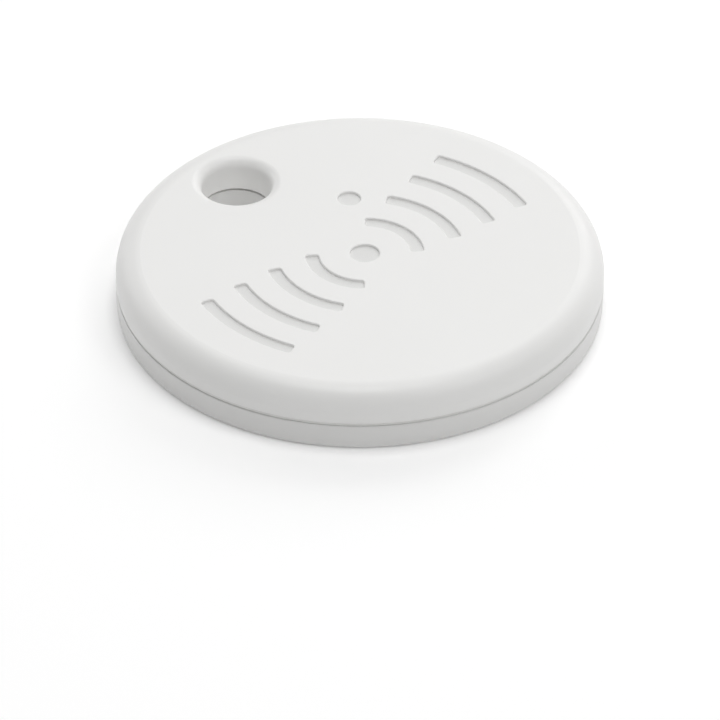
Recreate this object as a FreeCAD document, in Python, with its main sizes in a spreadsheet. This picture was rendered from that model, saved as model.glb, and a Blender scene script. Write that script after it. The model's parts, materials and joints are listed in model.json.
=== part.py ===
import FreeCAD, Part
import math
import os

import Sketcher
from FreeCAD import Placement, Rotation, Vector

# Round key-finder tag: two shells that snap together round a coin cell, a ring-shaped circuit
# board and a piezo sounder. Millimetres, +Z up. The origin is the centre of the underside, and
# the keyring hole lies on +Y.

doc = FreeCAD.newDocument("tracker_tag")
sheet = doc.addObject("Spreadsheet::Sheet", "dims")

DIMENSIONS = {
    # outside shape
    "tag_diameter": 37.9,
    "tag_thickness": 5.1,
    "top_edge_radius": 1.9,
    "bottom_edge_radius": 0.4,
    "wall_draft": 0.1,
    "seam_height": 2.23,
    "seam_gap": 0.2,
    "cover_seam_radius": 0.08,
    "base_seam_radius": 0.15,
    # keyring hole
    "hole_y": 13.3,
    "hole_radius": 2.75,
    "hole_rim_radius": 0.75,
    "hole_tube_radius": 3.15,
    "hole_slip": 0.05,
    "seal_thickness": 0.4,
    "seal_bottom": 1.2,
    "seal_height": 2.2,
    # shell walls
    "roof_thickness": 0.7,
    "floor_thickness": 0.7,
    "cover_wall": 0.95,
    "inner_corner_radius": 1.1,
    "lip_inner_radius": 17.3,
    "lip_outer_radius": 17.9,
    "lip_top": 3.3,
    "lip_edge_radius": 0.12,
    "gasket_outer_radius": 18.65,
    "gasket_height": 0.6,
    "gasket_slip": 0.02,
    "pry_width": 6.0,
    "pry_depth": 0.6,
    "pry_height": 0.35,
    # sunk marks on the top face
    "mark_depth": 0.22,
    "mark_stroke": 1.05,
    "mark_edge_radius": 0.1,
    "mark_corner_radius": 0.25,
    "mark_y": -0.5,
    "mark_dot_radius": 1.15,
    "wave_first_radius": 4.1,
    "wave_step": 3.2,
    "dimple_x": 4.4,
    "dimple_y": 5.35,
    "dimple_radius": 0.9,
    # coin cell and its cradle
    "cell_y": -2.6,
    "cell_bottom": 1.5,
    "cell_height": 2.5,
    "can_radius": 10.0,
    "can_rise": 0.12,
    "can_wall": 0.25,
    "can_edge_radius": 0.3,
    "plus_length": 2.4,
    "plus_stroke": 0.45,
    "plus_depth": 0.04,
    "plus_y": 2.9,
    "crimp_radius": 9.2,
    "cap_radius": 8.8,
    "cap_height": 1.1,
    "cradle_inner_radius": 10.15,
    "cradle_wall": 0.6,
    "cradle_bottom": 1.2,
    "cradle_top": 3.5,
    "ledge_radius": 9.3,
    "ledge_top": 1.6,
    "flange_radius": 11.5,
    "flange_thickness": 0.3,
    "cushion_radius": 6.0,
    "cushion_ring_width": 0.4,
    "cushion_ring_height": 0.2,
    # circuit board
    "board_radius": 17.0,
    "board_bottom": 1.9,
    "board_thickness": 0.6,
    "board_cutout_radius": 10.95,
    "board_notch_radius": 4.0,
    "post_ring_radius": 15.2,
    "post_radius": 0.8,
    "pin_radius": 0.45,
    "pin_hole_radius": 0.5,
    "stake_radius": 0.85,
    "stake_height": 0.35,
    "stake_edge_radius": 0.15,
    "finger_notch_slip": 1.0,
    # components on the board
    "eased_edge": 0.08,
    "pin_mark_depth": 0.05,
    "lead_length": 0.2,
    "lead_width": 0.25,
    "lead_thickness": 0.12,
    "inductor_x": -13.1,
    "inductor_side": 3.0,
    "inductor_height": 1.2,
    "inductor_plate": 0.3,
    "drum_radius": 1.1,
    "winding_radius": 1.42,
    "passive_length": 1.0,
    "passive_width": 0.5,
    "terminal_length": 0.22,
    "terminal_skin": 0.015,
    "copper_thickness": 0.04,
    "aerial_width": 0.35,
    "aerial_radius": 14.95,
    "aerial_step": 0.6,
    "test_pad_radius": 0.5,
    # piezo sounder under the cell
    "piezo_radius": 11.5,
    "piezo_cavity_radius": 10.3,
    "piezo_cavity_depth": 0.15,
    "adhesive_thickness": 0.1,
    "plate_thickness": 0.2,
    "ceramic_radius": 8.6,
    "ceramic_thickness": 0.1,
    "electrode_radius": 8.2,
    "electrode_thickness": 0.02,
    "film_thickness": 0.05,
    # spring contacts
    "strip_thickness": 0.1,
    "cell_contact_gap": 0.06,
    "cell_contact_width": 4.0,
    "cell_contact_top": 3.8,
    "cell_contact_foot": 2.3,
    "negative_hub_radius": 4.2,
    "negative_arm_width": 2.4,
    "negative_arm_reach": 13.4,
    "tongue_width": 1.4,
    "tongue_reach": 7.6,
    "tongue_rise": 0.13,
    "piezo_contact_width": 1.2,
    # snap frame that carries the cover
    "frame_inner_radius": 14.9,
    "frame_outer_radius": 17.7,
    "frame_thickness": 0.5,
    "frame_gap_slip": 0.1,
    "frame_mouth_width": 7.2,
    "finger_width": 2.6,
    "finger_outer_radius": 17.0,
    "finger_thickness": 0.5,
    "finger_bottom": 2.0,
    "hook_reach": 0.5,
    "hook_height": 0.5,
    "hook_slip": 0.05,
    "captive_ring_radius": 16.0,
    "captive_radius": 0.6,
    "captive_slot_radius": 0.75,
    "captive_head_radius": 1.05,
    "captive_head_height": 0.38,
    "captive_slip": 0.02,
    # press switch under the cover
    "switch_y": -15.4,
    "switch_length": 3.0,
    "switch_width": 2.4,
    "switch_height": 0.55,
    "switch_lid": 0.1,
    "switch_pocket_radius": 1.0,
    "switch_pocket_floor": 0.1,
    "plunger_radius": 0.6,
    "plunger_flange_radius": 0.85,
    "plunger_flange_height": 0.2,
    "plunger_top": 3.3,
    "switch_foot_length": 0.4,
    "switch_foot_width": 0.5,
    "snap_disc_radius": 0.9,
    "snap_disc_flat": 0.3,
    "snap_disc_thickness": 0.04,
    "press_gap": 0.02,
    "press_travel": 0.15,
    "nub_radius": 0.8,
    "nub_slot_radius": 1.2,
}

# Angles, in degrees round the tag from +X, of what repeats round the rim.
FINGER_ANGLES = (0, 50, 130, 180, 230, 310)
CAPTIVE_ANGLES = (25, 155, 205, 335)
POST_ANGLES = (62, 118, 242, 298)
# Half the opening angle of each sunk wave, from the smallest to the largest.
WAVE_HALF_ANGLES = (43, 30, 23.5, 19.5)
# Angles round the cell's own axis.
PIEZO_CONTACT_ANGLES = {"plate": 283, "ceramic": 257}
TONGUE_COUNT = 3
AERIAL_ANGLES = (190, 222)
# How far a cutting block reaches past what it cuts.
OVERCUT = "3"

# Block-shaped components: length, width and height, then radius and angle round the tag.
BLOCKS = {
    "bluetooth_body": (5.0, 5.0, 0.75, 13.0, 38),
    "driver_body": (3.0, 3.0, 0.7, 12.8, 142),
    "main_crystal": (1.6, 2.0, 0.5, 13.6, 14),
    "clock_crystal": (1.2, 2.0, 0.6, 12.2, 68),
    "bulk_capacitor_right": (1.6, 3.2, 1.2, 13.6, 332),
    "bulk_capacitor_left": (1.6, 3.2, 1.2, 13.6, 208),
}
# Small capacitors and resistors: radius and angle round the tag, and their bodies' heights.
CAPACITOR_SPOTS = [(14.2, a) for a in (312, 317, 322)] + [(12.9, a) for a in (356, 2, 8)] + [
    (15.6, a) for a in (255, 260, 280, 285)] + [(14.6, a) for a in (22, 167, 172)]
RESISTOR_SPOTS = [(14.2, a) for a in (218, 223, 228)] + [(13.4, a) for a in (158, 163)] + [
    (15.9, a) for a in (14, 19, 145, 150)] + [(15.4, a) for a in (176, 184)]
CAPACITOR_HEIGHT, RESISTOR_HEIGHT = 0.5, 0.35
TEST_PAD_SPOTS = [(13.0, 128), (11.6, 126), (11.9, 117.5), (10.4, 118)]

for row, (alias, size) in enumerate(DIMENSIONS.items(), 1):
    sheet.set(f"A{row}", alias)
    sheet.set(f"B{row}", str(size))
    sheet.setAlias(f"B{row}", alias)
doc.recompute()


# ---------------------------------------------------------------- helpers


def number(expression):
    """The value of an expression in the sheet's cells, in millimetres or degrees."""
    return float(sheet.evalExpression(expression))


TAG_RADIUS = "dims.tag_diameter / 2"
COVER_BOTTOM = "(dims.seam_height + dims.seam_gap)"
ROOF = "(dims.tag_thickness - dims.roof_thickness)"
COVER_INNER_RADIUS = "(dims.tag_diameter / 2 - dims.cover_wall)"
BOARD_TOP = "(dims.board_bottom + dims.board_thickness)"
GASKET_BOTTOM = "(dims.seam_height + dims.seam_gap - dims.gasket_height)"
CELL_TOP = "(dims.cell_bottom + dims.cell_height)"
PLATE_TOP = "(dims.floor_thickness + dims.adhesive_thickness + dims.plate_thickness)"
CERAMIC_TOP = f"({PLATE_TOP} + dims.ceramic_thickness)"
ELECTRODE_TOP = f"({CERAMIC_TOP} + dims.electrode_thickness)"
CONTACT_BOTTOM = "(dims.cradle_bottom + dims.film_thickness + 0.01)"


def bind(feature, **expressions):
    """Ties properties to expressions; a double underscore stands for a dot."""
    for name, expression in expressions.items():
        feature.setExpression(name.replace("__", "."), str(expression))
    return feature


def place(feature, x="0", y="0", z="0", turn=0):
    """Puts a feature at x, y, z, turned about +Z by a fixed angle in degrees."""
    feature.Placement = Placement(Vector(), Rotation(Vector(0, 0, 1), turn))
    return bind(feature, Placement__Base__x=x, Placement__Base__y=y, Placement__Base__z=z)


def cylinder(name, radius, height, x="0", y="0", z="0"):
    return place(bind(doc.addObject("Part::Cylinder", name), Radius=radius, Height=height), x, y, z)


def box(name, length, width, height, x="0", y="0", z="0", turn=0):
    """A box centred on x, y and standing on z, turned about its own upright axis."""
    made = bind(doc.addObject("Part::Box", name), Length=length, Width=width, Height=height)
    corner_x = f"{x} - ({length}) / 2 * cos({turn}) + ({width}) / 2 * sin({turn})"
    corner_y = f"{y} - ({length}) / 2 * sin({turn}) - ({width}) / 2 * cos({turn})"
    return place(made, corner_x, corner_y, z, turn)


def cut(name, base, *tools):
    made = doc.addObject("Part::Cut", name)
    made.Base = base
    made.Tool = tools[0] if len(tools) == 1 else group(name + "_tools", tools)
    return made


def fuse(name, *shapes):
    made = doc.addObject("Part::MultiFuse", name)
    made.Shapes = list(shapes)
    return made


def group(name, members):
    made = doc.addObject("Part::Compound", name)
    made.Links = list(members)
    return made


def tube(name, inner, outer, height, x="0", y="0", z="0"):
    return cut(
        name,
        cylinder(name + "_outside", outer, height, x, y, z),
        cylinder(name + "_bore", inner, height, x, y, z),
    )


def around(radius, angle):
    """x and y expressions for a point at radius and angle round the tag."""
    return f"{radius} * cos({angle})", f"{radius} * sin({angle})"


def rounded(name, base, radius, picks):
    """base with the edges that picks(edge) accepts rounded to radius."""
    doc.recompute()
    made = doc.addObject("Part::Fillet", name)
    made.Base = base
    size = number(radius)
    made.Edges = [(i, size, size) for i, edge in enumerate(base.Shape.Edges, 1) if picks(edge)]
    return made


def is_circle(edge, radius, z, x=0.0, y=0.0):
    """True if edge is a level circle of that radius at that height and centre."""
    curve = edge.Curve
    if not isinstance(curve, Part.Circle) or abs(abs(curve.Axis.z) - 1) > 1e-6:
        return False
    return abs(curve.Radius - radius) < 1e-4 and (curve.Center - Vector(x, y, z)).Length < 1e-4


def origin_feature(body, role):
    return next(f for f in body.Origin.OriginFeatures if f.Role == role)


def new_body(name):
    return doc.addObject("PartDesign::Body", name)


def sketch(body, name, plane="XY_Plane", offset="0"):
    """A sketch on one of the body's own origin planes, moved along the plane's normal."""
    made = body.newObject("Sketcher::SketchObject", name)
    made.AttachmentSupport = (origin_feature(body, plane), [""])
    made.MapMode = "FlatFace"
    made.setExpression("AttachmentOffset.Base.z", offset)
    return made


def pin_point(made, geometry, position, x, y):
    """Fixes a sketch point's x and y with expressions."""
    for kind, axis, expression in (("DistanceX", -2, x), ("DistanceY", -1, y)):
        value = number(expression)
        if abs(value) < 1e-9:
            made.addConstraint(Sketcher.Constraint("PointOnObject", geometry, position, axis))
        else:
            index = made.addConstraint(Sketcher.Constraint(kind, -1, 1, geometry, position, value))
            made.setExpression(f"Constraints[{index}]", expression)


def polygon(made, corners):
    """Adds a closed outline whose corners are (x, y) expressions."""
    first = made.GeometryCount
    points = [Vector(number(x), number(y), 0) for x, y in corners]
    count = len(points)
    for i, point in enumerate(points):
        made.addGeometry(Part.LineSegment(point, points[(i + 1) % count]), False)
    for i in range(count):
        following = first + (i + 1) % count
        made.addConstraint(Sketcher.Constraint("Coincident", first + i, 2, following, 1))
    for i, (x, y) in enumerate(corners):
        pin_point(made, first + i, 1, x, y)
    return made


def circle(made, radius, x="0", y="0"):
    """Adds a circle to a sketch."""
    centre = Vector(number(x), number(y), 0)
    index = made.addGeometry(Part.Circle(centre, Vector(0, 0, 1), number(radius)), False)
    size = made.addConstraint(Sketcher.Constraint("Radius", index, number(radius)))
    made.setExpression(f"Constraints[{size}]", radius)
    if number(x) == 0 and number(y) == 0:
        made.addConstraint(Sketcher.Constraint("Coincident", index, 3, -1, 1))
    else:
        pin_point(made, index, 3, x, y)
    return made


def radial_rectangle(made, near, far, width, angle):
    """Adds a rectangle that lies between two radii, centred on a ray from the origin."""
    corners = []
    for radius, side in ((near, -1), (far, -1), (far, 1), (near, 1)):
        x = f"({radius}) * cos({angle}) - ({side}) * ({width}) / 2 * sin({angle})"
        y = f"({radius}) * sin({angle}) + ({side}) * ({width}) / 2 * cos({angle})"
        corners.append((x, y))
    return polygon(made, corners)


def revolve(body, name, corners):
    """Turns a profile of (radius, height) corners about the body's upright axis."""
    profile = polygon(sketch(body, name + "_profile", "XZ_Plane"), corners)
    made = body.newObject("PartDesign::Revolution", name)
    made.Profile = profile
    made.ReferenceAxis = (profile, ["V_Axis"])
    made.Angle = 360
    doc.recompute()
    return made


def pad(body, name, profile, length, midplane=False):
    made = body.newObject("PartDesign::Pad", name)
    made.Profile = profile
    made.Midplane = midplane
    made.setExpression("Length", length)
    doc.recompute()
    return made


def pocket(body, name, profile, depth):
    """Cuts downwards from the profile, and stops the build if nothing was cut."""
    before = body.Shape.Volume
    made = body.newObject("PartDesign::Pocket", name)
    made.Profile = profile
    made.setExpression("Length", depth)
    doc.recompute()
    if body.Shape.Volume > before - 1e-4:
        raise RuntimeError(f"{name} cut nothing")
    return made


def fillet_edges(body, name, feature, radius, picks):
    """Rounds the edges of feature that picks(edge) accepts."""
    names = [f"Edge{i}" for i, edge in enumerate(feature.Shape.Edges, 1) if picks(edge)]
    if not names:
        raise RuntimeError(f"{name} found no edge")
    made = body.newObject("PartDesign::Fillet", name)
    made.Base = (feature, names)
    made.setExpression("Radius", radius)
    doc.recompute()
    return made


def body_fillet(body, name, feature, radius, circles):
    """Rounds the level circular edges listed as (radius, z, x, y)."""
    return fillet_edges(body, name, feature, radius,
                        lambda edge: any(is_circle(edge, *wanted) for wanted in circles))


# ---------------------------------------------------------------- shells


def is_mark_corner(edge):
    """True for an upright edge of a sunk mark, from the roof's face to the mark's floor."""
    top, depth = number("dims.tag_thickness"), number("dims.mark_depth")
    points = [v.Point for v in edge.Vertexes]
    upright = len(points) == 2 and abs(abs(points[0].z - points[1].z) - depth) < 1e-6
    return upright and abs(max(p.z for p in points) - top) < 1e-6 and is_inside_face(points)


def is_mark_rim(edge):
    """True for an edge of a sunk mark that lies in the roof's face."""
    top = number("dims.tag_thickness")
    points = [v.Point for v in edge.Vertexes]
    return all(abs(p.z - top) < 1e-6 for p in points) and is_inside_face(points)


def is_inside_face(points):
    """True if the points lie inside the roof's flat face, clear of the keyring hole's rim."""
    reach = number(f"{TAG_RADIUS} - dims.top_edge_radius") - 0.5
    hole_reach = number("dims.hole_radius + dims.hole_rim_radius") + 0.2
    hole_y = number("dims.hole_y")
    return all(math.hypot(p.x, p.y) < reach and math.hypot(p.x, p.y - hole_y) > hole_reach
               for p in points)


def sink_waves(body):
    """Four pairs of arcs sunk in the roof on either side of a sunk dot."""
    top = "dims.tag_thickness"
    for index, half_angle in enumerate(WAVE_HALF_ANGLES):
        middle = f"(dims.wave_first_radius + {index} * dims.wave_step)"
        near, far = f"{middle} - dims.mark_stroke / 2", f"{middle} + dims.mark_stroke / 2"
        profile = sketch(body, f"wave_{index}_profile", "XZ_Plane", "-dims.mark_y")
        for side in (1, -1):
            inner, outer = f"{side} * ({near})", f"{side} * ({far})"
            low, high = f"{top} - dims.mark_depth", f"{top} + dims.mark_depth"
            polygon(profile, [(inner, low), (outer, low), (outer, high), (inner, high)])
        groove = body.newObject("PartDesign::Groove", f"wave_{index}")
        groove.Profile = profile
        groove.ReferenceAxis = (profile, ["V_Axis"])
        groove.Midplane = True
        groove.Angle = 2 * half_angle
        before = body.Shape.Volume
        doc.recompute()
        if body.Shape.Volume > before - 1e-4:
            raise RuntimeError(f"wave {index} cut nothing")
    fillet_edges(body, "wave_corners", groove, "dims.mark_corner_radius", is_mark_corner)
    dots = sketch(body, "dots_profile", offset=top)
    circle(dots, "dims.mark_dot_radius", "0", "dims.mark_y")
    circle(dots, "dims.dimple_radius", "dims.dimple_x", "dims.dimple_y")
    sunk = pocket(body, "dots", dots, "dims.mark_depth")
    fillet_edges(body, "mark_rims", sunk, "dims.mark_edge_radius", is_mark_rim)


def top_shell():
    """Pressable cover: roof, wall, keyring tube, switch nub and four captive pins."""
    body = new_body("top_shell")
    top = "dims.tag_thickness"
    shell = revolve(body, "shell", [
        ("0", ROOF),
        ("0", top),
        (TAG_RADIUS, top),
        (TAG_RADIUS, COVER_BOTTOM),
        (COVER_INNER_RADIUS, COVER_BOTTOM),
        (COVER_INNER_RADIUS, ROOF),
    ])
    radius, wall_radius = number(TAG_RADIUS), number(COVER_INNER_RADIUS)
    shoulder = body_fillet(body, "shoulder", shell, "dims.top_edge_radius",
                           [(radius, number(top))])
    corner = body_fillet(body, "corner", shoulder, "dims.inner_corner_radius",
                         [(wall_radius, number(ROOF))])
    body_fillet(body, "seam_edge", corner, "dims.cover_seam_radius",
                [(radius, number(COVER_BOTTOM))])

    tube_profile = sketch(body, "tube_profile", offset=COVER_BOTTOM)
    circle(tube_profile, "dims.hole_tube_radius - dims.hole_slip", "0", "dims.hole_y")
    pad(body, "tube", tube_profile, f"{ROOF} - {COVER_BOTTOM} + dims.roof_thickness / 2")
    bore_profile = sketch(body, "bore_profile", offset=top)
    circle(bore_profile, "dims.hole_radius", "0", "dims.hole_y")
    bore = pocket(body, "bore", bore_profile, "dims.tag_thickness")
    hole = (number("dims.hole_radius"), number(top), 0.0, number("dims.hole_y"))
    body_fillet(body, "rim", bore, "dims.hole_rim_radius", [hole])

    nub_bottom = "(dims.plunger_top + dims.press_gap)"
    nub_profile = circle(sketch(body, "nub_profile", offset=nub_bottom),
                         "dims.nub_radius", "0", "dims.switch_y")
    pad(body, "nub", nub_profile, f"{ROOF} - {nub_bottom} + dims.roof_thickness / 2")

    head_top = "(dims.lip_top - dims.captive_slip)"
    heads = sketch(body, "heads_profile", offset=f"{head_top} - dims.captive_head_height")
    stems = sketch(body, "stems_profile", offset=f"{head_top} - dims.captive_head_height")
    for angle in CAPTIVE_ANGLES:
        x, y = around("dims.captive_ring_radius", angle)
        circle(heads, "dims.captive_head_radius", x, y)
        circle(stems, "dims.captive_radius", x, y)
    pad(body, "stems", stems, f"{ROOF} - {head_top} + dims.captive_head_height + 0.1")
    pad(body, "heads", heads, "dims.captive_head_height")

    ring = sketch(body, "cushion_ring_profile", offset=f"{ROOF} - dims.cushion_ring_height")
    ring_inner = "(dims.cushion_radius + 0.1)"
    circle(ring, ring_inner, "0", "dims.cell_y")
    circle(ring, f"{ring_inner} + dims.cushion_ring_width", "0", "dims.cell_y")
    pad(body, "cushion_ring", ring, "dims.cushion_ring_height + 0.1")

    sink_waves(body)
    return body


def bottom_shell():
    """Base: floor, wall with a gasket groove and inner lip, keyring tube and board posts."""
    body = new_body("bottom_shell")
    floor = "dims.floor_thickness"
    foot_radius = f"({TAG_RADIUS} - dims.wall_draft)"
    shell = revolve(body, "base", [
        ("0", "0"),
        (foot_radius, "0"),
        (TAG_RADIUS, "dims.seam_height"),
        ("dims.gasket_outer_radius", "dims.seam_height"),
        ("dims.gasket_outer_radius", GASKET_BOTTOM),
        ("dims.lip_outer_radius", GASKET_BOTTOM),
        ("dims.lip_outer_radius", "dims.lip_top"),
        ("dims.lip_inner_radius", "dims.lip_top"),
        ("dims.lip_inner_radius", floor),
        ("0", floor),
    ])
    foot = body_fillet(body, "foot_edge", shell, "dims.bottom_edge_radius",
                       [(number(foot_radius), 0.0)])
    seam_edge = body_fillet(body, "base_seam_edge", foot, "dims.base_seam_radius",
                            [(number(TAG_RADIUS), number("dims.seam_height"))])
    lip_top = number("dims.lip_top")
    body_fillet(body, "lip_edges", seam_edge, "dims.lip_edge_radius",
                [(number("dims.lip_outer_radius"), lip_top),
                 (number("dims.lip_inner_radius"), lip_top)])

    tube_profile = sketch(body, "base_tube_profile", offset="dims.floor_thickness / 2")
    circle(tube_profile, "dims.hole_tube_radius", "0", "dims.hole_y")
    pad(body, "base_tube", tube_profile, "dims.seam_height - dims.floor_thickness / 2")
    bore_profile = sketch(body, "base_bore_profile", offset="dims.seam_height")
    circle(bore_profile, "dims.hole_radius", "0", "dims.hole_y")
    bore = pocket(body, "base_bore", bore_profile, "dims.tag_thickness")
    hole = (number("dims.hole_radius"), 0.0, 0.0, number("dims.hole_y"))
    body_fillet(body, "base_rim", bore, "dims.hole_rim_radius", [hole])

    cavity = sketch(body, "cavity_profile", offset=floor)
    circle(cavity, "dims.piezo_cavity_radius", "0", "dims.cell_y")
    pocket(body, "piezo_cavity", cavity, "dims.piezo_cavity_depth")

    posts = sketch(body, "posts_profile", offset="dims.floor_thickness / 2")
    pins = sketch(body, "pins_profile", offset="dims.board_bottom - 0.1")
    stakes = sketch(body, "stakes_profile", offset=BOARD_TOP)
    stake_rims = []
    for angle in POST_ANGLES:
        x, y = around("dims.post_ring_radius", angle)
        circle(posts, "dims.post_radius", x, y)
        circle(pins, "dims.pin_radius", x, y)
        circle(stakes, "dims.stake_radius", x, y)
        stake_rims.append((number("dims.stake_radius"), number(f"{BOARD_TOP} + dims.stake_height"),
                           number(x), number(y)))
    pad(body, "posts", posts, "dims.board_bottom - dims.floor_thickness / 2")
    pad(body, "pins", pins, "dims.board_thickness + 0.1 + dims.stake_height / 2")
    heads = pad(body, "stakes", stakes, "dims.stake_height")
    body_fillet(body, "stake_edges", heads, "dims.stake_edge_radius", stake_rims)

    hook_top = "(dims.finger_bottom + dims.hook_height + dims.hook_slip)"
    windows = sketch(body, "windows_profile", offset=hook_top)
    window_depth = "dims.finger_outer_radius + dims.hook_reach + 0.1"
    for angle in FINGER_ANGLES:
        radial_rectangle(windows, "dims.lip_inner_radius - 0.1", window_depth,
                         "dims.finger_width + 0.3", angle)
    pocket(body, "windows", windows, "dims.hook_height + 0.2")

    pry = sketch(body, "pry_profile", offset="dims.seam_height")
    radial_rectangle(pry, f"{TAG_RADIUS} - dims.pry_depth", f"{TAG_RADIUS} + dims.pry_depth",
                     "dims.pry_width", 90)
    pocket(body, "pry_notch", pry, "dims.pry_height")
    return body


# ---------------------------------------------------------------- seals and frame


def perimeter_gasket():
    """Square silicone ring in the base's groove; it lifts the cover back after a press."""
    slip = "dims.gasket_slip"
    return tube("perimeter_gasket", f"dims.lip_outer_radius + {slip}",
                f"dims.gasket_outer_radius - {slip}", "dims.gasket_height", z=GASKET_BOTTOM)


def keyring_seal():
    """Silicone sleeve on the base's keyring tube; the cover's tube slides in it."""
    outer = "(dims.hole_tube_radius + dims.seal_thickness)"
    sleeve = tube("seal_sleeve", "dims.hole_tube_radius", outer, "dims.seal_height",
                  y="dims.hole_y", z="dims.seal_bottom")
    return rounded("keyring_seal", sleeve, "dims.seal_thickness / 4",
                   lambda edge: isinstance(edge.Curve, Part.Circle)
                   and abs(edge.Curve.Radius - number(outer)) < 1e-4)


def snap_frame():
    """Open ring that sits on the base's lip and holds the cover captive by its pins."""
    ring = tube("frame_ring", "dims.frame_inner_radius", "dims.frame_outer_radius",
                "dims.frame_thickness", z="dims.lip_top")
    tools = [
        cylinder("frame_keyring_gap", "dims.board_notch_radius + dims.frame_gap_slip",
                 "dims.frame_thickness", y="dims.hole_y", z="dims.lip_top"),
        cylinder("frame_nub_gap", "dims.nub_slot_radius", "dims.frame_thickness",
                 y="dims.switch_y", z="dims.lip_top"),
        box("frame_mouth", "dims.frame_mouth_width", "dims.board_notch_radius",
            "dims.frame_thickness", y="dims.hole_y + dims.board_notch_radius * 0.9",
            z="dims.lip_top"),
    ]
    for angle in CAPTIVE_ANGLES:
        x, y = around("dims.captive_ring_radius", angle)
        tools.append(cylinder(f"captive_slot_{angle}", "dims.captive_slot_radius",
                              "dims.frame_thickness", x, y, "dims.lip_top"))
    return cut("snap_frame", ring, *tools)


def snap_fingers():
    """Six hooked legs of the snap frame, which bend inwards as the cover comes off."""
    legs = []
    inner = "(dims.finger_outer_radius - dims.finger_thickness)"
    outer, tip = "dims.finger_outer_radius", "(dims.finger_outer_radius + dims.hook_reach)"
    low, high = "dims.finger_bottom", "dims.lip_top"
    for angle in FINGER_ANGLES:
        leg = new_body(f"finger_{angle}")
        leg.Placement = Placement(Vector(), Rotation(Vector(0, 0, 1), angle))
        profile = polygon(sketch(leg, f"finger_{angle}_profile", "XZ_Plane"), [
            (inner, low),
            (outer, low),
            (tip, f"{low} + dims.hook_height * 0.7"),
            (tip, f"{low} + dims.hook_height"),
            (outer, f"{low} + dims.hook_height"),
            (outer, high),
            (inner, high),
        ])
        pad(leg, f"finger_{angle}_leg", profile, "dims.finger_width", midplane=True)
        legs.append(leg)
    return group("snap_fingers", legs)


# ---------------------------------------------------------------- circuit board


def circuit_board():
    """Ring-shaped board round the cell, open towards the keyring hole."""
    height, bottom = "dims.board_thickness", "dims.board_bottom"
    disc = cylinder("board_disc", "dims.board_radius", height, z=bottom)
    tools = [
        cylinder("board_cutout", "dims.board_cutout_radius", height, y="dims.cell_y", z=bottom),
        cylinder("board_notch", "dims.board_notch_radius", height, y="dims.hole_y", z=bottom),
        box("board_notch_mouth", "2 * dims.board_notch_radius", f"2 * {OVERCUT}", height,
            y=f"dims.hole_y + {OVERCUT}", z=bottom),
    ]
    for angle in FINGER_ANGLES:
        x, y = around(f"(dims.finger_outer_radius - dims.finger_thickness - 0.2 + {OVERCUT} / 2)",
                      angle)
        tools.append(box(f"board_finger_notch_{angle}", OVERCUT,
                         "dims.finger_width + dims.finger_notch_slip", height,
                         x, y, bottom, angle))
    for angle in POST_ANGLES:
        x, y = around("dims.post_ring_radius", angle)
        tools.append(cylinder(f"board_pin_hole_{angle}", "dims.pin_hole_radius", height,
                              x, y, bottom))
    return cut("circuit_board", disc, *tools)


def block(name):
    """A block-shaped component, square to its radius, with eased top edges."""
    length, width, height, radius, angle = BLOCKS[name]
    x, y = around(radius, angle)
    plain = box(name + "_block", str(length), str(width), str(height), x, y, BOARD_TOP, angle)
    top = number(BOARD_TOP) + height
    return rounded(name, plain, "dims.eased_edge",
                   lambda edge: all(abs(v.Z - top) < 1e-6 for v in edge.Vertexes))


def marked_chip(name, body, inset, turn, mark_radius):
    """A chip with a shallow round mark near its first lead."""
    height, radius, angle = BLOCKS[body][2:]
    x, y = around(radius - inset, angle + turn)
    dot = cylinder(name + "_pin_mark", str(mark_radius), "2 * dims.pin_mark_depth", x, y,
                   f"{BOARD_TOP} + {height} - dims.pin_mark_depth")
    return cut(name, block(body), dot)


def lead_row(name, body, count, pitch):
    """Flat leads showing along the four sides of a chip."""
    size, radius, angle = BLOCKS[body][0], *BLOCKS[body][3:]
    x, y = around(radius, angle)
    leads = []
    for side in range(4):
        turn = angle + 90 * side
        for i in range(count):
            out, along = f"({size} + dims.lead_length) / 2", f"{pitch * (i - (count - 1) / 2)}"
            lead_x = f"{x} + {out} * cos({turn}) - {along} * sin({turn})"
            lead_y = f"{y} + {out} * sin({turn}) + {along} * cos({turn})"
            leads.append(box(f"{name}_{side}_{i}", "dims.lead_length", "dims.lead_width",
                             "dims.lead_thickness", lead_x, lead_y, BOARD_TOP, turn))
    return leads


def chip_leads():
    return group("chip_leads", lead_row("radio_lead", "bluetooth_body", 8, 0.5)
                 + lead_row("driver_lead", "driver_body", 4, 0.5))


def boost_inductor():
    """Wire-wound power inductor: a ferrite drum between square end plates."""
    side, plate = "dims.inductor_side", "dims.inductor_plate"
    x = "dims.inductor_x"
    parts = [
        box("inductor_foot", side, side, plate, x, z=BOARD_TOP),
        cylinder("inductor_drum", "dims.drum_radius", f"dims.inductor_height - {plate}", x,
                 z=f"{BOARD_TOP} + {plate} / 2"),
        box("inductor_head", side, side, plate, x,
            z=f"{BOARD_TOP} + dims.inductor_height - {plate}"),
    ]
    return fuse("boost_inductor", *parts)


def inductor_winding():
    plate = "dims.inductor_plate"
    return tube("inductor_winding", "dims.drum_radius", "dims.winding_radius",
                f"dims.inductor_height - 2 * {plate}", "dims.inductor_x",
                z=f"{BOARD_TOP} + {plate}")


def passive_bodies(name, spots, height):
    bodies = []
    for i, (radius, angle) in enumerate(spots):
        x, y = around(radius, angle)
        bodies.append(box(f"{name}_{i}", "dims.passive_length - 2 * dims.terminal_length",
                          "dims.passive_width", str(height), x, y, BOARD_TOP, angle))
    return group(name, bodies)


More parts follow.
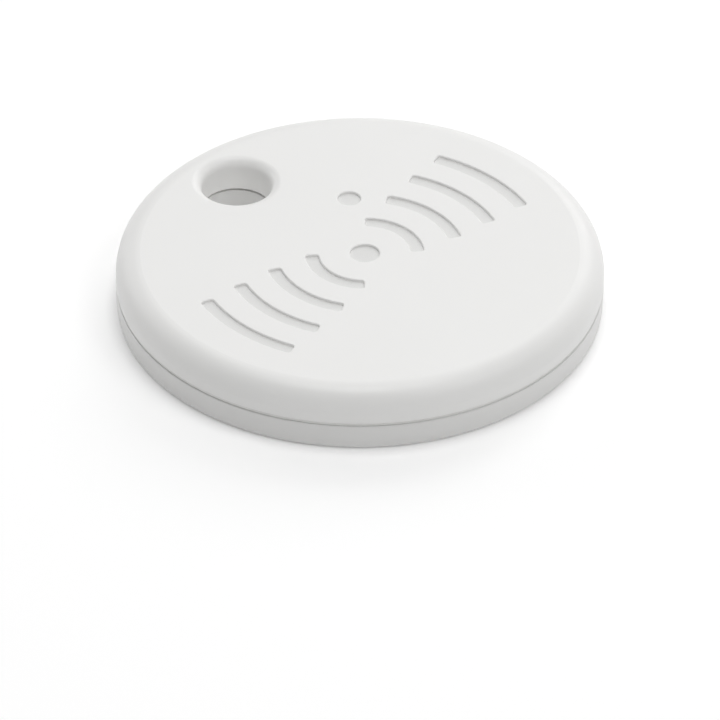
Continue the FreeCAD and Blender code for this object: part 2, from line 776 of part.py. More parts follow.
def passive_terminals():
    """Tinned ends of every small capacitor and resistor."""
    ends = []
    for kind, spots, height in (("cap", CAPACITOR_SPOTS, CAPACITOR_HEIGHT),
                                ("res", RESISTOR_SPOTS, RESISTOR_HEIGHT)):
        for i, (radius, angle) in enumerate(spots):
            for side in (-1, 1):
                shift = f"{side} * (dims.passive_length - dims.terminal_length) / 2"
                x, y = around(f"({radius} + {shift})", angle)
                ends.append(box(f"{kind}_end_{i}_{side + 1}", "dims.terminal_length",
                                "dims.passive_width + 2 * dims.terminal_skin",
                                f"{height} + dims.terminal_skin", x, y, BOARD_TOP, angle))
    return group("passive_terminals", ends)


def bulk_capacitors():
    return group("bulk_capacitors", [block("bulk_capacitor_right"), block("bulk_capacitor_left")])


def sector(name, inner, outer, height, z, start, end):
    """Part of a tube between two angles."""
    pieces = []
    for side, radius in (("outside", outer), ("inside", inner)):
        piece = bind(doc.addObject("Part::Cylinder", f"{name}_{side}"), Radius=radius,
                     Height=height, Angle=str(end - start))
        pieces.append(place(piece, z=z, turn=start))
    return cut(name, *pieces)


def antenna_trace():
    """Folded copper aerial along the board's edge."""
    start, end = AERIAL_ANGLES
    half = "dims.aerial_width / 2"
    pieces = []
    for i in range(3):
        radius = f"(dims.aerial_radius + {i} * dims.aerial_step)"
        pieces.append(sector(f"aerial_arc_{i}", f"{radius} - {half}", f"{radius} + {half}",
                             "dims.copper_thickness", BOARD_TOP, start, end))
    # The links sit just inside the ends, so that they don't stand out past the arcs.
    inset = 0.7
    for i, angle in enumerate((end - inset, start + inset)):
        x, y = around(f"(dims.aerial_radius + {i + 0.5} * dims.aerial_step)", angle)
        pieces.append(box(f"aerial_link_{i}", "dims.aerial_step + dims.aerial_width",
                          "dims.aerial_width", "dims.copper_thickness", x, y, BOARD_TOP, angle))
    return fuse("antenna_trace", *pieces)


def test_pads():
    """Gold-plated programming pads beside the keyring hole."""
    return group("test_pads", [
        cylinder(f"test_pad_{i}", "dims.test_pad_radius", "dims.copper_thickness",
                 *around(radius, angle), BOARD_TOP)
        for i, (radius, angle) in enumerate(TEST_PAD_SPOTS)
    ])


# ---------------------------------------------------------------- press switch


def switch_housing():
    base = box("switch_block", "dims.switch_length", "dims.switch_width", "dims.switch_height",
               y="dims.switch_y", z=BOARD_TOP)
    well = cylinder("switch_well", "dims.switch_pocket_radius", "dims.switch_height",
                    y="dims.switch_y", z=f"{BOARD_TOP} + dims.switch_pocket_floor")
    return cut("switch_housing", base, well)


def switch_lid():
    plate = box("switch_plate", "dims.switch_length", "dims.switch_width", "dims.switch_lid",
                y="dims.switch_y", z=f"{BOARD_TOP} + dims.switch_height")
    hole = cylinder("switch_plate_hole", "dims.plunger_radius + 0.05", "dims.switch_lid",
                    y="dims.switch_y", z=f"{BOARD_TOP} + dims.switch_height")
    return cut("switch_lid", plate, hole)


def switch_plunger():
    bottom = (f"({BOARD_TOP} + dims.switch_pocket_floor + dims.press_travel"
              " + dims.press_gap)")
    stem = cylinder("plunger_stem", "dims.plunger_radius", f"dims.plunger_top - {bottom}",
                    y="dims.switch_y", z=bottom)
    flange = cylinder("plunger_flange", "dims.plunger_flange_radius",
                      "dims.plunger_flange_height", y="dims.switch_y", z=bottom)
    return fuse("switch_plunger", stem, flange)


def switch_dome():
    """Domed snap disc under the plunger, which gives the click."""
    body = new_body("switch_dome")
    place(body, y="dims.switch_y")
    low = f"({BOARD_TOP} + dims.switch_pocket_floor)"
    crown = f"({low} + dims.press_travel - dims.press_gap / 2)"
    flat, rim = "dims.snap_disc_flat", "dims.snap_disc_radius"
    thickness = "dims.snap_disc_thickness"
    revolve(body, "dome", [
        (flat, f"{crown} - {thickness}"),
        (rim, low),
        (rim, f"{low} + {thickness}"),
        (flat, crown),
        ("0", crown),
        ("0", f"{crown} - {thickness}"),
    ])
    return body


def switch_terminals():
    """Four tinned feet at the corners of the switch."""
    feet = []
    for i, (side, end) in enumerate(((-1, -1), (-1, 1), (1, -1), (1, 1))):
        x = f"{side} * (dims.switch_length + dims.switch_foot_length) / 2"
        y = f"dims.switch_y + {end} * (dims.switch_width / 2 - dims.switch_foot_length)"
        feet.append(box(f"switch_foot_{i}", "dims.switch_foot_length", "dims.switch_foot_width",
                        "dims.lead_thickness", x, y, BOARD_TOP))
    return group("switch_terminals", feet)


# ---------------------------------------------------------------- coin cell


def cell_can():
    """Positive can of the coin cell, crimped inwards at its open lower end."""
    bottom = "(dims.cell_bottom + dims.can_rise)"
    outside = cylinder("can_outside", "dims.can_radius", f"{CELL_TOP} - {bottom}",
                       y="dims.cell_y", z=bottom)
    soft = rounded("can_eased", outside, "dims.can_edge_radius",
                   lambda edge: isinstance(edge.Curve, Part.Circle))
    hollow = cylinder("can_hollow", "dims.can_radius - dims.can_wall",
                      f"{CELL_TOP} - {bottom} - 2 * dims.can_wall",
                      y="dims.cell_y", z=f"{bottom} + dims.can_wall")
    mouth = cylinder("can_mouth", "dims.crimp_radius", "2 * dims.can_wall",
                     y="dims.cell_y", z=f"{bottom} - dims.can_wall / 2")
    plus = fuse("can_plus", *[
        box(f"can_plus_{turn}", "dims.plus_length", "dims.plus_stroke", "2 * dims.plus_depth",
            y="dims.cell_y + dims.plus_y", z=f"{CELL_TOP} - dims.plus_depth", turn=turn)
        for turn in (0, 90)
    ])
    return cut("cell_can", soft, hollow, mouth, plus)


def cell_cap():
    """Negative cap of the coin cell, the face that meets the spring below."""
    outside = cylinder("cap_outside", "dims.cap_radius", "dims.cap_height",
                       y="dims.cell_y", z="dims.cell_bottom")
    low = number("dims.cell_bottom")
    soft = rounded("cap_eased", outside, "dims.can_wall / 2",
                   lambda e: isinstance(e.Curve, Part.Circle) and abs(e.Curve.Center.z - low) < 1e-6)
    hollow = cylinder("cap_hollow", "dims.cap_radius - dims.can_wall", "dims.cap_height",
                      y="dims.cell_y", z="dims.cell_bottom + dims.can_wall")
    return cut("cell_cap", soft, hollow)


def cell_grommet():
    """Plastic ring that insulates the cap from the can."""
    step = "(dims.cell_bottom + dims.can_rise + dims.can_wall)"
    lower = tube("grommet_lower", "dims.cap_radius", "dims.crimp_radius", "dims.can_wall",
                 y="dims.cell_y", z="dims.cell_bottom + dims.can_rise")
    upper = tube("grommet_upper", "dims.cap_radius", "dims.can_radius - dims.can_wall",
                 f"dims.cell_bottom + dims.cap_height - {step}", y="dims.cell_y", z=step)
    return fuse("cell_grommet", lower, upper)


def cell_core():
    """Cathode pellet, separator and lithium disc, as one block that fills the can."""
    seat = "(dims.cell_bottom + dims.cap_height)"
    lower = cylinder("core_lower", "dims.cap_radius - dims.can_wall - 0.05",
                     "dims.cap_height - dims.can_wall", y="dims.cell_y",
                     z="dims.cell_bottom + dims.can_wall")
    upper = cylinder("core_upper", "dims.can_radius - dims.can_wall - 0.05",
                     f"{CELL_TOP} - dims.can_wall - {seat}", y="dims.cell_y", z=seat)
    return fuse("cell_core", lower, upper)


def cell_cushion():
    """Foam pad under the roof that keeps the cell down."""
    return cylinder("cell_cushion", "dims.cushion_radius", f"{ROOF} - {CELL_TOP}",
                    y="dims.cell_y", z=CELL_TOP)


def at_cell(angle, radius):
    """x and y expressions for a point round the cell's axis."""
    return f"{radius} * cos({angle})", f"dims.cell_y + {radius} * sin({angle})"


def battery_cradle():
    """Moulded ring that centres the cell, hung from the board by a flange."""
    wall = "(dims.cradle_inner_radius + dims.cradle_wall)"
    ring = fuse(
        "cradle_ring",
        tube("cradle_wall", "dims.cradle_inner_radius", wall,
             "dims.cradle_top - dims.cradle_bottom", y="dims.cell_y", z="dims.cradle_bottom"),
        tube("cradle_ledge", "dims.ledge_radius", wall, "dims.ledge_top - dims.cradle_bottom",
             y="dims.cell_y", z="dims.cradle_bottom"),
        tube("cradle_flange", "dims.cradle_inner_radius", "dims.flange_radius",
             "dims.flange_thickness", y="dims.cell_y", z=BOARD_TOP),
    )
    window = box("cradle_window", OVERCUT, "dims.cell_contact_width + 0.6", "2",
                 "dims.can_radius + 1.4", "dims.cell_y", f"{BOARD_TOP} - 0.05")
    arm_slot = box("cradle_arm_slot", OVERCUT, "dims.negative_arm_width + 0.4", "0.4",
                   "-dims.can_radius", "dims.cell_y", "dims.cradle_bottom - 0.1")
    x, y = at_cell(PIEZO_CONTACT_ANGLES["ceramic"], "dims.can_radius")
    lead_slot = box("cradle_lead_slot", OVERCUT, "dims.piezo_contact_width + 0.4", "0.2",
                    x, y, "dims.cradle_bottom - 0.1", PIEZO_CONTACT_ANGLES["ceramic"])
    return cut("battery_cradle", ring, window, arm_slot, lead_slot)


# ---------------------------------------------------------------- contacts and sounder


def positive_contact():
    """Bent strip on the board whose two leaves wipe the side of the can."""
    near = "(dims.can_radius + dims.cell_contact_gap)"
    strip = "dims.strip_thickness"
    body = new_body("positive_strip")
    place(body, y="dims.cell_y")
    profile = polygon(sketch(body, "positive_profile", "XZ_Plane"), [
        (near, BOARD_TOP),
        (f"{near} + dims.cell_contact_foot", BOARD_TOP),
        (f"{near} + dims.cell_contact_foot", f"{BOARD_TOP} + {strip}"),
        (f"{near} + {strip}", f"{BOARD_TOP} + {strip}"),
        (f"{near} + {strip}", "dims.cell_contact_top - 0.2"),
        (f"{near} + 3 * {strip}", "dims.cell_contact_top"),
        (f"{near} + 2 * {strip}", "dims.cell_contact_top"),
        (near, "dims.cell_contact_top - 0.2"),
    ])
    pad(body, "positive_pad", profile, "dims.cell_contact_width", midplane=True)
    slot = box("positive_slot", "1", "0.6", "2", near, "dims.cell_y", f"{BOARD_TOP} + 0.3")
    return cut("positive_contact", body, slot)


def negative_contact():
    """Spring disc with three tongues under the cap, and an arm out to the board."""
    body = new_body("negative_contact")
    place(body, y="dims.cell_y")
    low, high = CONTACT_BOTTOM, f"({CONTACT_BOTTOM} + dims.strip_thickness)"
    hub = sketch(body, "hub_profile", offset=low)
    circle(hub, "dims.negative_hub_radius")
    circle(hub, "dims.negative_hub_radius / 3")
    pad(body, "hub", hub, "dims.strip_thickness")

    rim, reach = "(dims.negative_hub_radius - 0.3)", "dims.negative_arm_reach"
    riser = "(dims.negative_arm_reach - 1.2)"
    arm = polygon(sketch(body, "arm_profile", "XZ_Plane"), [
        (f"-{rim}", low),
        (f"-{riser}", low),
        (f"-{riser}", "dims.board_bottom - dims.strip_thickness"),
        (f"-{reach}", "dims.board_bottom - dims.strip_thickness"),
        (f"-{reach}", "dims.board_bottom"),
        (f"-{riser} + dims.strip_thickness", "dims.board_bottom"),
        (f"-{riser} + dims.strip_thickness", high),
        (f"-{rim}", high),
    ])
    pad(body, "arm", arm, "dims.negative_arm_width", midplane=True)

    tongue_profile = polygon(sketch(body, "tongue_profile", "XZ_Plane"), [
        (rim, low),
        ("dims.tongue_reach", f"{low} + dims.tongue_rise"),
        ("dims.tongue_reach", f"{high} + dims.tongue_rise"),
        (rim, high),
    ])
    tongue = pad(body, "tongue", tongue_profile, "dims.tongue_width", midplane=True)
    ring = body.newObject("PartDesign::PolarPattern", "tongues")
    ring.Originals = [tongue]
    ring.Axis = (origin_feature(body, "Z_Axis"), [""])
    ring.Angle = 360
    ring.Occurrences = TONGUE_COUNT
    body.Tip = ring
    return body


def insulator_film():
    """Film disc that keeps the negative spring off the sounder."""
    disc = cylinder("film_disc", "dims.electrode_radius", "dims.film_thickness",
                    y="dims.cell_y", z="dims.cradle_bottom")
    x, y = at_cell(PIEZO_CONTACT_ANGLES["ceramic"], "dims.electrode_radius")
    notch = box("film_notch", OVERCUT, "dims.piezo_contact_width + 0.6", "dims.film_thickness",
                x, y, "dims.cradle_bottom", PIEZO_CONTACT_ANGLES["ceramic"])
    return cut("insulator_film", disc, notch)


def piezo_adhesive():
    return tube("piezo_adhesive", "dims.piezo_cavity_radius", "dims.piezo_radius",
                "dims.adhesive_thickness", y="dims.cell_y", z="dims.floor_thickness")


def piezo_plate():
    return cylinder("piezo_plate", "dims.piezo_radius", "dims.plate_thickness",
                    y="dims.cell_y", z="dims.floor_thickness + dims.adhesive_thickness")


def piezo_ceramic():
    return cylinder("piezo_ceramic", "dims.ceramic_radius", "dims.ceramic_thickness",
                    y="dims.cell_y", z=PLATE_TOP)


def piezo_electrode():
    return cylinder("piezo_electrode", "dims.electrode_radius", "dims.electrode_thickness",
                    y="dims.cell_y", z=CERAMIC_TOP)


def piezo_contact(name, angle, tip_radius, bend_radius, touch):
    """Sprung strip from the underside of the board down to the sounder at height touch."""
    strip = "dims.strip_thickness"
    body = new_body(name)
    body.Placement = Placement(Vector(), Rotation(Vector(0, 0, 1), angle))
    body.setExpression("Placement.Base.y", "dims.cell_y")
    profile = polygon(sketch(body, name + "_profile", "XZ_Plane"), [
        ("13.4", "dims.board_bottom"),
        ("12.35", "dims.board_bottom"),
        (f"{bend_radius}", f"{touch} + {strip}"),
        (f"{tip_radius}", f"{touch} + {strip}"),
        (f"{tip_radius}", touch),
        (f"{bend_radius} + 0.06", touch),
        ("12.41", f"dims.board_bottom - {strip}"),
        ("13.4", f"dims.board_bottom - {strip}"),
    ])
    pad(body, name + "_pad", profile, "dims.piezo_contact_width", midplane=True)
    return body


def piezo_contacts():
    return group("piezo_contacts", [
        piezo_contact("plate_contact", PIEZO_CONTACT_ANGLES["plate"], 10.9, 11.3, PLATE_TOP),
        piezo_contact("ceramic_contact", PIEZO_CONTACT_ANGLES["ceramic"], 7.4, 11.3,
                      ELECTRODE_TOP),
    ])


# ---------------------------------------------------------------- build and write

NODES = {
    "top_shell": top_shell(),
    "bottom_shell": bottom_shell(),
    "perimeter_gasket": perimeter_gasket(),
    "keyring_seal": keyring_seal(),
    "snap_frame": snap_frame(),
    "snap_fingers": snap_fingers(),
    "circuit_board": circuit_board(),
    "bluetooth_chip": marked_chip("bluetooth_chip", "bluetooth_body", 1.8, 8, 0.3),
    "driver_chip": marked_chip("driver_chip", "driver_body", 1.0, -4, 0.2),
    "chip_leads": chip_leads(),
    "main_crystal": block("main_crystal"),
    "clock_crystal": block("clock_crystal"),
    "boost_inductor": boost_inductor(),
    "inductor_winding": inductor_winding(),
    "bulk_capacitors": bulk_capacitors(),
    "chip_capacitors": passive_bodies("chip_capacitors", CAPACITOR_SPOTS, CAPACITOR_HEIGHT),
    "chip_resistors": passive_bodies("chip_resistors", RESISTOR_SPOTS, RESISTOR_HEIGHT),
    "passive_terminals": passive_terminals(),
    "antenna_trace": antenna_trace(),
    "test_pads": test_pads(),
    "switch_housing": switch_housing(),
    "switch_lid": switch_lid(),
    "switch_plunger": switch_plunger(),
    "switch_dome": switch_dome(),
    "switch_terminals": switch_terminals(),
    "cell_can": cell_can(),
    "cell_cap": cell_cap(),
    "cell_grommet": cell_grommet(),
    "cell_core": cell_core(),
    "cell_cushion": cell_cushion(),
    "battery_cradle": battery_cradle(),
    "positive_contact": positive_contact(),
    "negative_contact": negative_contact(),
    "insulator_film": insulator_film(),
    "piezo_adhesive": piezo_adhesive(),
    "piezo_plate": piezo_plate(),
    "piezo_ceramic": piezo_ceramic(),
    "piezo_electrode": piezo_electrode(),
    "piezo_contacts": piezo_contacts(),
}

doc.recompute()
broken = [o.Name for o in doc.Objects if "Invalid" in o.State or "Error" in o.State]
if broken:
    raise RuntimeError(f"features that failed: {broken}")
for label, node in NODES.items():
    node.Label = label
    if node.Shape.isNull() or not node.Shape.isValid() or not node.Shape.Solids:
        raise RuntimeError(f"{label} has no valid solid")

os.makedirs("parts", exist_ok=True)
for label, node in NODES.items():
    node.Shape.exportStep(f"parts/{label}.step")
    bounds = node.Shape.BoundBox
    print(f"{label:18s} {len(node.Shape.Solids):3d} solids {node.Shape.Volume:9.3f} mm3 "
          f"z {bounds.ZMin:.2f} to {bounds.ZMax:.2f}")
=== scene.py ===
import json
import math

import bmesh
import bpy
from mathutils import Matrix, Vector


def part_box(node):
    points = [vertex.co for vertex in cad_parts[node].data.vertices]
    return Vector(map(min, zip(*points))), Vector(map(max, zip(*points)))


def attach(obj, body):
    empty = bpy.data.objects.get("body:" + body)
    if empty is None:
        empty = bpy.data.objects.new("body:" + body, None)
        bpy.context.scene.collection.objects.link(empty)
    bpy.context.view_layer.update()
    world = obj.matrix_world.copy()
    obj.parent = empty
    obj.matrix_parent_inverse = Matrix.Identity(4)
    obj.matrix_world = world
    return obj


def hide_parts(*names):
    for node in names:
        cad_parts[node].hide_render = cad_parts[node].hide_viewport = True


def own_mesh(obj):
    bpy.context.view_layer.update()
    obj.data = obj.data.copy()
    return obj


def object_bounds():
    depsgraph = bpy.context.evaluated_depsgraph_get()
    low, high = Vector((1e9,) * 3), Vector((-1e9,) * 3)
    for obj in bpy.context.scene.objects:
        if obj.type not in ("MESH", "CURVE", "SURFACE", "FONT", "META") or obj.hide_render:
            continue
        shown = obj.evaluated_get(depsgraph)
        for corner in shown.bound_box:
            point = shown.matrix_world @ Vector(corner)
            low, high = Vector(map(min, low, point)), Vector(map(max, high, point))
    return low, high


# Round key-finder tag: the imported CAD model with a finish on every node, detailed pieces where
# the CAD solid is only a stand-in, and a plain studio. Lengths are metres, and MM is one mm.

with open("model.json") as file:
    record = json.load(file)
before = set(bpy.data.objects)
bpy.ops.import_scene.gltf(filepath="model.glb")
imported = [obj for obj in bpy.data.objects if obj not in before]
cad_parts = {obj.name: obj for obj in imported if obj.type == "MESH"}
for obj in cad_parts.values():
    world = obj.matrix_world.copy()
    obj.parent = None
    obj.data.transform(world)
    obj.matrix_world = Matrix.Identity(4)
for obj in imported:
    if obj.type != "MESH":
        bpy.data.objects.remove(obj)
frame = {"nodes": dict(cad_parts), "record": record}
CAD_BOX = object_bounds()
NODES = frame["nodes"]
MM = 0.001

# ---------------------------------------------------------------- places read from the frame


def middle(node):
    low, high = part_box(node)
    return (low + high) / 2


LOW, HIGH = CAD_BOX
TAG_THICKNESS = HIGH.z - LOW.z
BOARD_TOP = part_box("circuit_board")[1].z
CELL = middle("cell_can")
CAN_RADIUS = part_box("cell_can")[1].x - CELL.x
FLANGE_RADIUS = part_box("battery_cradle")[1].y - CELL.y
HOLE = next(mount for mount in frame["record"]["mounts"] if mount["name"] == "keyring_hole")
HOLE_CENTRE, HOLE_RADIUS = Vector(HOLE["pos_m"]), HOLE["dims"]["r_mm"] * MM
# The open seam between the shells runs from the base's rim up to the cover's.
SEAM_GAP = 0.2 * MM
RIM_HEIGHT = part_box("perimeter_gasket")[1].z - SEAM_GAP
# In millimetres: the depth of the marks sunk in the face, and how far from its middle they reach.
MARK_DEPTH = 0.22
MARK_REACH = 16.0
# The height of the copper on the board, and the radius of the plated holes through it.
COPPER_HEIGHT = 0.02 * MM
VIA_BORE = 0.08 * MM

# ---------------------------------------------------------------- camera, light and floor

# The camera looks down at the tag from the side away from the keyring hole.
CAMERA_AZIMUTH = math.radians(-46.5)
CAMERA_ELEVATION = math.radians(36.6)
CAMERA_DISTANCE = 1.0
FRAME_WIDTH = 55.83 * MM
SENSOR_WIDTH = 36.0
# How far the middle of the top face sits above the middle of the picture, across the view.
FACE_RISE = 8.514 * MM

AWAY = Vector((-math.sin(CAMERA_AZIMUTH), math.cos(CAMERA_AZIMUTH), 0.0))
RIGHT = Vector((AWAY.y, -AWAY.x, 0.0))
UP = Vector((0.0, 0.0, 1.0))

# Softboxes: the angle from straight away, turning to the camera's right, the angle above the
# floor, and the power in watts. All are squares of one size at one distance.
SOFTBOXES = {
    "overhead": (0, 88, 5.6),
    "behind_high": (0, 50, 1.2),
    "behind": (20, 30, 3.15),
    "right_fill": (120, 50, 2.45),
    "behind_right_low": (45, 18, 0.8),
    "behind_left_low": (315, 18, 1.5),
}
SOFTBOX_SIZE = 0.6
SOFTBOX_DISTANCE = 1.2
SURROUND = 0.232
# The paper glows a little, as if it were lit from below.
PAPER_GLOW = 0.11


def make_camera():
    """A long lens, aimed so that the top face sits high in the frame."""
    data = bpy.data.cameras.new("camera")
    data.sensor_width = SENSOR_WIDTH
    data.lens = SENSOR_WIDTH * CAMERA_DISTANCE / FRAME_WIDTH
    data.clip_start, data.clip_end = 0.01, 20.0
    camera = bpy.data.objects.new("camera", data)
    bpy.context.scene.collection.objects.link(camera)
    view = AWAY * math.cos(CAMERA_ELEVATION) - UP * math.sin(CAMERA_ELEVATION)
    picture_up = AWAY * math.sin(CAMERA_ELEVATION) + UP * math.cos(CAMERA_ELEVATION)
    target = UP * TAG_THICKNESS - picture_up * FACE_RISE
    camera.location = target - view * CAMERA_DISTANCE
    camera.rotation_mode = "QUATERNION"
    camera.rotation_quaternion = view.to_track_quat("-Z", "Y")
    bpy.context.scene.camera = camera


def make_light():
    """Plain soft studio light: a pale surround and the square softboxes."""
    world = bpy.data.worlds.new("studio")
    world.use_nodes = True
    background = world.node_tree.nodes["Background"]
    background.inputs["Color"].default_value = (1.0, 1.0, 1.0, 1.0)
    background.inputs["Strength"].default_value = SURROUND
    bpy.context.scene.world = world
    bpy.context.scene.view_settings.view_transform = "Standard"
    for name, (turn, height, watts) in SOFTBOXES.items():
        data = bpy.data.lights.new(name, "AREA")
        data.shape = "SQUARE"
        data.size = SOFTBOX_SIZE
        data.energy = watts
        light = bpy.data.objects.new(name, data)
        turn, height = math.radians(turn), math.radians(height)
        level = AWAY * math.cos(turn) + RIGHT * math.sin(turn)
        direction = level * math.cos(height) + UP * math.sin(height)
        light.location = direction * SOFTBOX_DISTANCE
        light.rotation_mode = "QUATERNION"
        light.rotation_quaternion = (-direction).to_track_quat("-Z", "Y")
        bpy.context.scene.collection.objects.link(light)


def make_floor():
    """A wide pale floor under the tag."""
    paper = Finish("floor_paper", (0.975, 0.975, 0.975), roughness=0.9, specular=0.1)
    paper.shader.inputs["Emission Color"].default_value = (1.0, 1.0, 1.0, 1.0)
    paper.shader.inputs["Emission Strength"].default_value = PAPER_GLOW
    mesh = bpy.data.meshes.new("floor")
    bm = bmesh.new()
    bmesh.ops.create_circle(bm, cap_ends=True, segments=96, radius=4.0)
    bm.to_mesh(mesh)
    bm.free()
    floor = bpy.data.objects.new("floor", mesh)
    floor.location.z = LOW.z - 0.01 * MM
    bpy.context.scene.collection.objects.link(floor)
    mesh.materials.append(paper.material)


# ---------------------------------------------------------------- node materials


class Finish:
    """A procedural material. Its textures are laid out in millimetres of the row frame."""

    def __init__(self, name, colour, roughness=0.5, metallic=0.0, specular=0.5):
        self.material = bpy.data.materials.new(name)
        self.material.use_nodes = True
        self.tree = self.material.node_tree
        self.shader = self.tree.nodes["Principled BSDF"]
        self.shader.inputs["Base Color"].default_value = (*colour, 1.0)
        self.shader.inputs["Roughness"].default_value = roughness
        self.shader.inputs["Metallic"].default_value = metallic
        self.shader.inputs["Specular IOR Level"].default_value = specular
        self.colour = colour
        self.position = None

    def add(self, kind, **settings):
        node = self.tree.nodes.new(kind)
        for key, value in settings.items():
            setattr(node, key, value)
        return node

    def feed(self, socket, value):
        """Links an output to a socket, or sets the socket's own value."""
        if isinstance(value, bpy.types.NodeSocket):
            self.tree.links.new(value, socket)
        else:
            socket.default_value = value

    def place(self):
        """The point's place in millimetres."""
        if self.position is None:
            place = self.add("ShaderNodeTexCoord").outputs["Object"]
            scaled = self.add("ShaderNodeVectorMath", operation="SCALE")
            self.feed(scaled.inputs[0], place)
            scaled.inputs["Scale"].default_value = 1 / MM
            self.position = scaled.outputs[0]
        return self.position

    def axis(self, index):
        """One coordinate of the point's place, in millimetres."""
        split = self.add("ShaderNodeSeparateXYZ")
        self.feed(split.inputs[0], self.place())
        return split.outputs[index]

    def math(self, operation, first, second=0.0, third=0.0):
        node = self.add("ShaderNodeMath", operation=operation)
        for socket, value in zip(node.inputs, (first, second, third)):
            self.feed(socket, value)
        return node.outputs[0]

    def noise(self, per_mm, detail=3.0, stretch=(1, 1, 1)):
        """Noise from 0 to 1 with features of about 1 / per_mm millimetres."""
        mapping = self.add("ShaderNodeMapping")
        self.feed(mapping.inputs["Vector"], self.place())
        mapping.inputs["Scale"].default_value = stretch
        node = self.add("ShaderNodeTexNoise")
        self.feed(node.inputs["Vector"], mapping.outputs[0])
        node.inputs["Scale"].default_value = per_mm
        node.inputs["Detail"].default_value = detail
        return node.outputs["Fac"]

    def pores(self, per_mm):
        """Distance from the nearest of scattered points, in cells."""
        node = self.add("ShaderNodeTexVoronoi")
        self.feed(node.inputs["Vector"], self.place())
        node.inputs["Scale"].default_value = per_mm
        return node.outputs["Distance"]

    def radius(self, centre):
        """Distance in millimetres from the upright axis through centre, given in metres."""
        x = self.math("SUBTRACT", self.axis(0), centre.x / MM)
        y = self.math("SUBTRACT", self.axis(1), centre.y / MM)
        return self.math("SQRT", self.math("ADD", self.math("MULTIPLY", x, x),
                                           self.math("MULTIPLY", y, y)))

    def facing_up(self):
        """The upward part of the surface's direction: 1 on a level face, 0 on an upright one."""
        split = self.add("ShaderNodeSeparateXYZ")
        self.feed(split.inputs[0], self.add("ShaderNodeNewGeometry").outputs["True Normal"])
        return split.outputs[2]

    def every(self, first, *others):
        """The product of masks: 1 where all of them are 1."""
        for other in others:
            first = self.math("MULTIPLY", first, other)
        return first

    def spread(self, value, low, high):
        """Maps the middle half of a noise onto low to high."""
        node = self.add("ShaderNodeMapRange")
        self.feed(node.inputs["Value"], value)
        node.inputs["From Min"].default_value = 0.25
        node.inputs["From Max"].default_value = 0.75
        node.inputs["To Min"].default_value = low
        node.inputs["To Max"].default_value = high
        return node.outputs[0]

    def ramp(self, value, start, end):
        """Rises smoothly from 0 where the value is start to 1 where it is end."""
        node = self.add("ShaderNodeMapRange", interpolation_type="SMOOTHSTEP")
        self.feed(node.inputs["Value"], value)
        node.inputs["From Min"].default_value = start
        node.inputs["From Max"].default_value = end
        return node.outputs[0]

    def vary_roughness(self, value, low, high):
        self.feed(self.shader.inputs["Roughness"], self.spread(value, low, high))

    def mix_colour(self, factor, colour):
        """Lays a colour over the present one where factor is 1."""
        node = self.add("ShaderNodeMix", data_type="RGBA")
        self.feed(node.inputs["Factor"], factor)
        present = self.shader.inputs["Base Color"]
        if present.links:
            self.feed(node.inputs["A"], present.links[0].from_socket)
        else:
            node.inputs["A"].default_value = tuple(present.default_value)
        node.inputs["B"].default_value = (*colour, 1.0)
        self.feed(present, node.outputs["Result"])

    def shade(self, value, amount):
        """Darkens the colour by up to amount where the noise is high."""
        darker = [channel * (1 - amount) for channel in self.colour]
        self.mix_colour(self.spread(value, 0.0, 1.0), darker)

    def emboss(self, value, depth_mm):
        """Adds relief of depth_mm, on top of any relief that is there."""
        bump = self.add("ShaderNodeBump")
        self.feed(bump.inputs["Height"], value)
        bump.inputs["Distance"].default_value = depth_mm * MM
        normal = self.shader.inputs["Normal"]
        if normal.links:
            self.feed(bump.inputs["Normal"], normal.links[0].from_socket)
        self.feed(normal, bump.outputs[0])


def moulded_plastic(name, colour, roughness, grain_depth=0.0035, mottle=0.025):
    """Injection-moulded plastic: spark-eroded grain, faint flow mottling, uneven gloss."""
    finish = Finish(name, colour, roughness)
    finish.shade(finish.noise(0.12, 4), mottle)
    finish.shade(finish.noise(9, 2), mottle * 0.6)
    finish.vary_roughness(finish.noise(0.8, 5), roughness - 0.05, roughness + 0.06)
    finish.emboss(finish.noise(7, 2), grain_depth)
    finish.emboss(finish.noise(0.35, 1), grain_depth * 2)
    return finish


def cover_plastic():
    """White plastic: painted light tints the bore and the marks' walls lighter, and painted shade
    tints the marks' floors darker.
    """
    painted_light_tint, painted_shade_tint = (0.975, 0.972, 0.96), (0.70, 0.70, 0.69)
    finish = moulded_plastic("cover_plastic", (0.88, 0.878, 0.866), 0.4)
    from_hole = finish.radius(HOLE_CENTRE)
    bore_radius = HOLE_RADIUS / MM
    # Painted light: the bore and its rounded rim are tinted lighter, standing in for light that
    # reaches into the hole.
    finish.mix_colour(finish.ramp(from_hole, bore_radius + 0.55, bore_radius + 0.05), painted_light_tint)
    # The marks are what lies a little way below the face, clear of the hole's rounded rim.
    depth = finish.math("SUBTRACT", TAG_THICKNESS / MM, finish.axis(2))
    marks = finish.every(
        finish.math("GREATER_THAN", depth, 0.03),
        finish.math("LESS_THAN", depth, MARK_DEPTH * 2),
        finish.math("LESS_THAN", finish.radius(Vector()), MARK_REACH),
        finish.math("GREATER_THAN", from_hole, bore_radius + 1),
    )
    # Painted light: the marks' walls, which stand in shade, are tinted lighter.
    finish.mix_colour(marks, painted_light_tint)
    # Painted shade: the marks' level floors are tinted darker, unevenly through a noise.
    level = finish.math("GREATER_THAN", finish.facing_up(), 0.995)
    shade_speckle = finish.spread(finish.noise(16, 2), 0.7, 1.0)
    finish.mix_colour(finish.every(marks, level, shade_speckle), painted_shade_tint)
    return finish


def silicone():
    """Matt silicone with a dusty sheen and mould grain."""
    finish = Finish("soft_silicone", (0.82, 0.82, 0.80), 0.62, specular=0.35)
    finish.shader.inputs["Sheen Weight"].default_value = 0.25
    finish.shade(finish.noise(0.5, 4), 0.10)
    finish.vary_roughness(finish.noise(3, 3), 0.55, 0.72)
    finish.emboss(finish.noise(14, 2), 0.003)
    return finish


